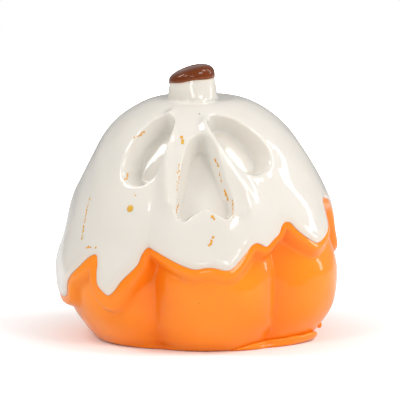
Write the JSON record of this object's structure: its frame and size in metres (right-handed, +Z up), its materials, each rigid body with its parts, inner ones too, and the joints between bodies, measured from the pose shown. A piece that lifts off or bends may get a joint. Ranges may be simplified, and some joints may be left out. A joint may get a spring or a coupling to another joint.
{
  "type": "ceramic pumpkin figure",
  "caption": "Small glazed ceramic pumpkin with lobed orange sides, a hollow-eyed skull face in white dripping icing, and a stub stem with a brown tip.",
  "frame": {"origin": "on the ground under the middle of the foot", "axes": "+Z up through the stem; the face looks towards -Y; +X is to the right of someone who looks at the face"},
  "size_m": [0.0361, 0.0371, 0.0353],
  "materials": {
    "orange_glaze": "gloss orange glaze",
    "white_glaze": "gloss warm white glaze",
    "brown_glaze": "gloss brown glaze"
  },
  "bodies": {
    "root": {"pumpkin_body": "orange_glaze", "skull_icing": "white_glaze", "stem": "white_glaze", "stem_tip": "brown_glaze", "foot_puddle": "orange_glaze"}
  },
  "joints": []
}
